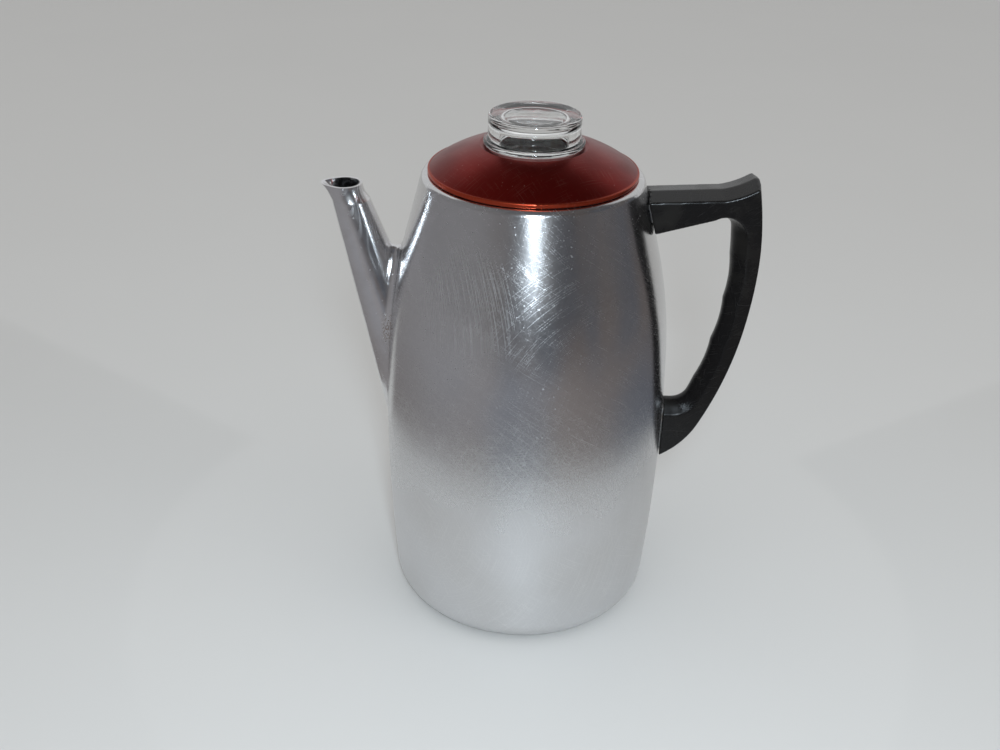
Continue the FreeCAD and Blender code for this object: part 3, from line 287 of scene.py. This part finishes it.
def polished_aluminium():
    """Spun and buffed aluminium: rings round the axis, wiping arcs, scratches and a duller foot."""
    shader = Shader("polished_aluminium", {"Metallic": 1.0, "Anisotropic": 0.5, "Anisotropic Rotation": 0.25})
    shader.use("Tangent", shader.node("Tangent", {}, direction_type="RADIAL", axis="Z").outputs[0])
    place = shader.place()
    around, up = shader.unrolled(VESSEL_UNROLLED)
    rings = shader.rings(around, up, share=0.02, size=0.35, seed=1.0)

    steep = shader.strokes(around, up, lean=68.0, length=22.0, width=0.30, rarity=0.60, seed=2.0)
    crossing = shader.strokes(around, up, lean=112.0, length=16.0, width=0.28, rarity=0.62, seed=3.0)
    flat = shader.strokes(around, up, lean=12.0, length=12.0, width=0.25, rarity=0.65, seed=4.0)
    long = shader.strokes(around, up, lean=-35.0, length=34.0, width=0.28, rarity=0.67, seed=5.0)
    broad = shader.arcs(around, up, BROAD_ABOUT, length=26.0, width=0.5, rarity=0.58, seed=9.0)
    scratches = shader.total(((steep, 0.35), (crossing, 0.35), (flat, 0.5), (long, 0.7), (broad, 0.3)))

    wiped = shader.arcs(around, up, WIPED_ABOUT, length=14.0, width=0.38, rarity=0.56, seed=8.0)
    wiped_here = shader.near(around, up, WIPED_NEAR, inner=8.0, outer=36.0)
    turned = shader.arcs(around, up, TURNED_ABOUT, length=15.0, width=0.30, rarity=0.63, seed=10.0)
    turned_here = shader.near(around, up, TURNED_NEAR, inner=10.0, outer=44.0)
    wiping = shader.total(((shader.product(wiped, wiped_here), 1.0),
                           (shader.product(turned, turned_here), 0.45)))

    marks = shader.total(((scratches, 0.8), (wiping, 0.9)))
    nicks = shader.spots(place, size=1.1, seed=6.0, low=0.80, high=0.83, detail=0.0)
    worn = shader.spots(place, size=52.0, seed=7.0, low=0.36, high=0.68, detail=2.0)
    foot = shader.step(up, DULL_FROM, DULLEST_AT)
    shader.relief(shader.total(((rings, 0.4), (marks, -0.8), (wiping, -0.2), (nicks, -1.6))), depth=0.005)
    rough = shader.total(((foot, 0.11), (worn, 0.025), (marks, 0.12), (wiping, 0.09), (nicks, 0.2)))
    shader.use("Roughness", shader.math("ADD", rough, 0.165))
    grey = shader.mix(worn, VESSEL_BRIGHT, VESSEL_WORN)
    shader.use("Base Color", shader.mix(shader.product(marks, 0.45), grey, VESSEL_SCRATCH))
    return shader.material


def weld_seam(shader, place, parts):
    """Mask of the short stained and pitted line where the spout is welded to the belly."""
    joint = shader.step(shader.length(parts["X"], parts["Y"]), BELLY_RADIUS + SEAM_WIDTH, BELLY_RADIUS)
    upper_end = shader.step(parts["Z"], SEAM_TOP, SEAM_TOP - SEAM_FADE)
    lower_end = shader.step(parts["Z"], SEAM_FOOT, SEAM_FOOT + SEAM_FADE)
    pits = shader.spots(place, size=0.9, seed=16.0, low=0.44, high=0.62, detail=2.0)
    return shader.product(shader.product(joint, shader.product(upper_end, lower_end)), pits)


def spout_aluminium():
    """Hand-polished casting: soft strokes along the spout, small nicks and a weld seam."""
    shader = Shader("spout_aluminium", {"Metallic": 1.0})
    place = shader.place()
    parts = shader.parts()
    y, z = parts["Y"], parts["Z"]
    along = shader.strokes(y, z, lean=80.0, length=18.0, width=0.4, rarity=0.60, seed=11.0)
    crossing = shader.strokes(y, z, lean=20.0, length=9.0, width=0.4, rarity=0.64, seed=12.0)
    nicks = shader.spots(place, size=1.1, seed=13.0, low=0.80, high=0.83, detail=0.0)
    worn = shader.spots(place, size=17.0, seed=14.0, low=0.4, high=0.65, detail=3.0)
    waves = shader.noise(place, size=9.0, seed=15.0, detail=1.0)
    seam = weld_seam(shader, place, parts)
    height = shader.total(((along, -0.6), (crossing, -0.6), (nicks, -2.5), (waves, 1.5), (seam, -2.0)))
    shader.relief(height, depth=0.008)
    rough = shader.total(((worn, 0.08), (along, 0.08), (nicks, 0.2), (seam, 0.35)))
    shader.use("Roughness", shader.math("ADD", rough, 0.13))
    grey = shader.mix(worn, SPOUT_BRIGHT, SPOUT_WORN)
    shader.use("Base Color", shader.mix(shader.product(seam, 0.6), grey, SEAM_STAIN))
    return shader.material


def satin_aluminium(name, bright, dull, stain):
    """Plain aluminium with rolling lines, scratches, worn patches and a coffee-brown film."""
    shader = Shader(name, {"Metallic": 1.0})
    place = shader.place()
    around, up = shader.unrolled(INSIDES_UNROLLED)
    rings = shader.rings(around, up, share=0.03, size=0.5, seed=21.0)
    marks = shader.strokes(around, up, lean=24.0, length=10.0, width=0.4, rarity=0.62, seed=22.0)
    worn = shader.spots(place, size=12.0, seed=23.0, low=0.38, high=0.66, detail=4.0)
    film = shader.spots(place, size=7.0, seed=24.0, low=0.52, high=0.70, detail=4.0)
    shader.relief(shader.total(((rings, 0.6), (marks, -0.7), (film, 0.4))), depth=0.008)
    shader.use("Roughness", shader.total(((worn, 0.14), (film, 0.12), (marks, 0.08), (rings, 0.5))))
    grey = shader.mix(worn, bright, dull)
    shader.use("Base Color", shader.mix(shader.product(film, 0.7), grey, stain))
    return shader.material


def red_anodised():
    """Red dyed anodised sheet under a clear hard skin, with pale scratches and a painted highlight along the
    rim.
    """
    constants = {"Metallic": 1.0, "Coat Weight": 0.08, "Coat Roughness": 0.2, "Coat IOR": 1.5}
    shader = Shader("red_anodised", constants)
    place = shader.place()
    parts = shader.parts()
    x, y = parts["X"], parts["Y"]
    reach = shader.length(x, y)
    rings = shader.noise(shader.vector(reach, 0.0), size=0.45, seed=31.0, detail=1.0)
    marks = shader.strokes(x, y, lean=38.0, length=14.0, width=0.25, rarity=0.69, seed=36.0)
    crossing = shader.strokes(x, y, lean=122.0, length=11.0, width=0.22, rarity=0.70, seed=37.0)
    specks = shader.spots(place, size=1.0, seed=34.0, low=0.79, high=0.82, detail=0.0)
    cloud = shader.spots(place, size=22.0, seed=35.0, low=0.35, high=0.7, detail=3.0)
    # The lighter red band along the rim is a painted highlight of the rim's rounded edge.
    rim_highlight = shader.step(reach, RIM_HIGHLIGHT_START, RIM_HIGHLIGHT_FULL)
    shader.relief(shader.total(((rings, 0.5), (marks, -0.8), (crossing, -0.8), (specks, -2.0))), depth=0.006)
    rough = shader.total(((cloud, 0.08), (marks, 0.1), (specks, 0.2)))
    shader.use("Roughness", shader.math("ADD", rough, 0.30))
    red = shader.mix(rim_highlight, shader.mix(cloud, LID_BRIGHT, LID_DARK), LID_RIM_HIGHLIGHT)
    bare = shader.total(((marks, 0.10), (crossing, 0.10), (specks, 0.4)))
    shader.use("Base Color", shader.mix(bare, red, LID_SCRATCH))
    return shader.material


def black_phenolic():
    """Glossy moulded phenolic with a faint flow pattern, fine scratches and rubbed spots."""
    shader = Shader("black_phenolic", {"IOR": 1.5, "Specular IOR Level": 0.22})
    place = shader.place()
    parts = shader.parts()
    x, y, z = parts["X"], parts["Y"], parts["Z"]
    pebble = shader.noise(place, size=1.6, seed=41.0, detail=2.0)
    waves = shader.noise(place, size=11.0, seed=42.0, detail=1.0)
    marks = shader.strokes(x, z, lean=35.0, length=7.0, width=0.25, rarity=0.69, seed=43.0)
    crossing = shader.strokes(y, z, lean=70.0, length=6.0, width=0.25, rarity=0.70, seed=44.0)
    rubbed = shader.spots(place, size=14.0, seed=45.0, low=0.45, high=0.68, detail=4.0)
    shader.relief(shader.total(((pebble, 0.4), (waves, 1.5), (marks, -0.4), (crossing, -0.4))), depth=0.010)
    rough = shader.total(((rubbed, 0.10), (marks, 0.10), (crossing, 0.10)))
    shader.use("Roughness", shader.math("ADD", rough, 0.24))
    black = shader.mix(rubbed, HANDLE_BLACK, HANDLE_RUBBED)
    dusty = shader.total(((marks, 0.1), (crossing, 0.1)))
    shader.use("Base Color", shader.mix(dusty, black, HANDLE_SCRATCH))
    return shader.material


def clear_glass():
    """Pressed soda glass: faint ripples and a few rubbed marks."""
    shader = Shader("knob_glass", {"Transmission Weight": 1.0, "IOR": 1.5, "Base Color": GLASS_TINT})
    parts = shader.parts()
    ripples = shader.noise(shader.place(), size=6.0, seed=51.0, detail=1.0)
    marks = shader.strokes(parts["X"], parts["Y"], lean=50.0, length=6.0, width=0.3, rarity=0.70, seed=52.0)
    shader.relief(shader.total(((ripples, 5.0), (marks, -0.4))), depth=0.012)
    shader.use("Roughness", shader.math("ADD", shader.product(marks, 0.25), 0.012))
    return shader.material


def plated_steel():
    """Small plated screws and washers with a dull, lightly stained face."""
    shader = Shader("plated_steel", {"Metallic": 1.0})
    place = shader.place()
    grain = shader.noise(place, size=0.5, seed=61.0, detail=2.0)
    stain = shader.spots(place, size=2.4, seed=62.0, low=0.5, high=0.68, detail=3.0)
    shader.relief(grain, depth=0.02)
    shader.use("Roughness", shader.total(((stain, 0.2), (grain, 0.6))))
    shader.use("Base Color", shader.mix(stain, STEEL_BRIGHT, STEEL_STAIN))
    return shader.material


def floor_paint():
    """Soft pale paint with a faint mottle."""
    shader = Shader("floor_paint", {"Roughness": 0.55})
    mottle = shader.noise(shader.place(), size=160.0, seed=71.0, detail=3.0)
    darker = tuple(FLOOR_DARKER * part for part in FLOOR_COLOUR[:3]) + (1.0,)
    shader.use("Base Color", shader.mix(mottle, FLOOR_COLOUR, darker))
    return shader.material


def painted_room_reflection():
    """Painted shade and reflection of an unlit room: dull brown and blue blotches, which get lighter towards
    the left.
    """
    shader = Shader("painted_room_reflection", {"Roughness": 0.9})
    mottle = shader.spots(shader.place(), size=320.0, seed=72.0, low=0.32, high=0.68, detail=1.0)
    rightness = shader.step(shader.parts()["X"], ROOM_LIGHTEST_AT, ROOM_DARKEST_AT)
    shader.use("Base Color", shader.mix(rightness, ROOM_LEFT, shader.mix(mottle, ROOM_BROWN, ROOM_BLUE)))
    return shader.material


# ---------------------------------------------------------------- camera, lamps and stage

def link(item):
    """Put a new object in the scene."""
    bpy.context.scene.collection.objects.link(item)
    return item


def add_mesh(name, points, faces, material):
    """New mesh object in the scene, from points in metres."""
    mesh = bpy.data.meshes.new(name)
    mesh.from_pydata(points, [], faces)
    mesh.update()
    mesh.materials.append(material)
    return link(bpy.data.objects.new(name, mesh))


def make_camera():
    """Camera at the photograph's height and angle, which looks down on the pot."""
    data = bpy.data.cameras.new("front_camera")
    data.lens = CAMERA_LENS
    data.sensor_width = CAMERA_SENSOR
    camera = link(bpy.data.objects.new("front_camera", data))
    turn = Matrix.Rotation(CAMERA_YAW, 4, "Z")
    tilt = Matrix.Rotation(math.pi / 2 - CAMERA_PITCH, 4, "X")
    roll = Matrix.Rotation(CAMERA_ROLL, 4, "Z")
    camera.matrix_world = Matrix.Translation(CAMERA_PLACE) @ turn @ tilt @ roll
    bpy.context.scene.camera = camera


def area_light(name, place, target, width, height, power, colour=PLAIN_WHITE):
    """Flat lamp that faces a target."""
    data = bpy.data.lights.new(name, "AREA")
    data.shape = "RECTANGLE"
    data.size = width
    data.size_y = height
    data.energy = power
    data.color = colour
    lamp = link(bpy.data.objects.new(name, data))
    lamp.location = place
    lamp.rotation_euler = (Vector(target) - Vector(place)).to_track_quat("-Z", "Y").to_euler()


def make_lamps():
    """Flash just over the camera, and weak wide lamps overhead and on the right."""
    area_light("flash", FLASH_PLACE, FLASH_TARGET, width=0.075, height=0.22, power=3.3, colour=FLASH_COLOUR)
    area_light("ceiling", CEILING_PLACE, POT_MIDDLE, width=1.6, height=1.6, power=2.5)
    area_light("side", SIDE_PLACE, POT_MIDDLE, width=1.0, height=1.0, power=3.0)


def make_world():
    """Even pale light from all round."""
    world = bpy.data.worlds.new("studio")
    world.use_nodes = True
    background = world.node_tree.nodes["Background"]
    background.inputs["Color"].default_value = SKY_COLOUR
    background.inputs["Strength"].default_value = SKY_STRENGTH
    bpy.context.scene.world = world


def make_floor():
    """Wide pale disc under the pot."""
    turns = [2 * math.pi * side / FLOOR_SIDES for side in range(FLOOR_SIDES)]
    rim = [(FLOOR_REACH * math.cos(turn), FLOOR_REACH * math.sin(turn), 0.0) for turn in turns]
    floor = add_mesh("floor", rim, [tuple(range(FLOOR_SIDES))], floor_paint())


def make_dark_room():
    """Dark shell seen only in reflections, like the unlit room before and above the pot.

    It lies just over the floor in front, rises all round but at the back, and closes overhead.
    Its left side is painted lighter, a painted reflection that stands in for a wall near the pot.
    """
    points = []
    for column in range(ROOM_COLUMNS + 1):
        angle = math.pi / 2 + 2 * math.pi * column / ROOM_COLUMNS
        points += [(reach * math.cos(angle), reach * math.sin(angle), height)
                   for reach, height in ROOM_OUTLINE]
    rings = len(ROOM_OUTLINE)
    faces = []
    for column in range(ROOM_COLUMNS):
        turn = 2 * math.pi * (column + 0.5) / ROOM_COLUMNS
        behind = min(turn, 2 * math.pi - turn) < ROOM_OPEN_TURN
        for ring in range(ROOM_OPEN_RINGS if behind else 0, rings - 1):
            first = column * rings + ring
            faces.append((first, first + 1, first + rings + 1, first + rings))
    room = add_mesh("dark_room", points, faces, painted_room_reflection())
    room.visible_camera = False
    room.visible_diffuse = False
    room.visible_transmission = False
    room.visible_shadow = False


# ---------------------------------------------------------------- pieces

def finish_piece(item, material):
    """Give an object one material."""
    item.data.materials.clear()
    item.data.materials.append(material)


def replacement(name, node, body):
    """Piece that stands for a CAD node, from a copy of its mesh and its finish."""
    made = link(bpy.data.objects.new(name, NODES[node].data.copy()))
    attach(made, body)
    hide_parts(node)
    return made


def round_edges(made):
    """Round a moulded piece's edges as its mould and years of use leave them."""
    even = made.modifiers.new("even_mesh", "REMESH")
    even.mode = "VOXEL"
    even.voxel_size = MOULDING_CELL * MM
    even.use_smooth_shade = True
    relax = made.modifiers.new("rounded_edges", "SMOOTH")
    relax.factor = MOULDING_PULL
    relax.iterations = MOULDING_PASSES


def drop_empty_faces(made):
    """Take faces of no area out of a piece's mesh, such as the one at a turned piece's axis."""
    mesh = bmesh.new()
    mesh.from_mesh(made.data)
    empty = [face for face in mesh.faces if face.calc_area() < SMALLEST_FACE * MM * MM]
    bmesh.ops.delete(mesh, geom=empty, context="FACES_ONLY")
    mesh.to_mesh(made.data)
    mesh.free()


# ---------------------------------------------------------------- assembly

bpy.context.scene.view_settings.view_transform = "Standard"
make_camera()
make_world()
make_floor()
make_dark_room()
make_lamps()

polished = polished_aluminium()
buffed = spout_aluminium()
plain = satin_aluminium("plain_aluminium", PLAIN_BRIGHT, PLAIN_DULL, PLAIN_STAIN)
basket = satin_aluminium("basket_aluminium", BASKET_BRIGHT, BASKET_DULL, BASKET_STAIN)
red = red_anodised()
black = black_phenolic()
glass = clear_glass()
steel = plated_steel()

FINISHES = {
    "vessel": polished,
    "spout": buffed,
    "upper_handle_bracket": plain,
    "lower_handle_bracket": plain,
    "upper_bracket_rivets": plain,
    "lower_bracket_rivets": plain,
    "handle": black,
    "upper_handle_screw": steel,
    "lower_handle_screw": steel,
    "handle_screw_washers": steel,
    "lid_shell": red,
    "lid_collar": plain,
    "glass_knob": glass,
    "pump_tube": plain,
    "pump_bell": plain,
    "valve_seat": plain,
    "valve_washer": plain,
    "basket_stop": plain,
    "basket_shell": basket,
    "basket_hub": basket,
    "spreader_plate": basket,
    "spreader_collar": basket,
}
for node, material in FINISHES.items():
    finish_piece(NODES[node], material)
round_edges(replacement("moulded_handle", "handle", "pot"))
drop_empty_faces(replacement("pressed_knob", "glass_knob", "knob"))

bpy.context.view_layer.update()
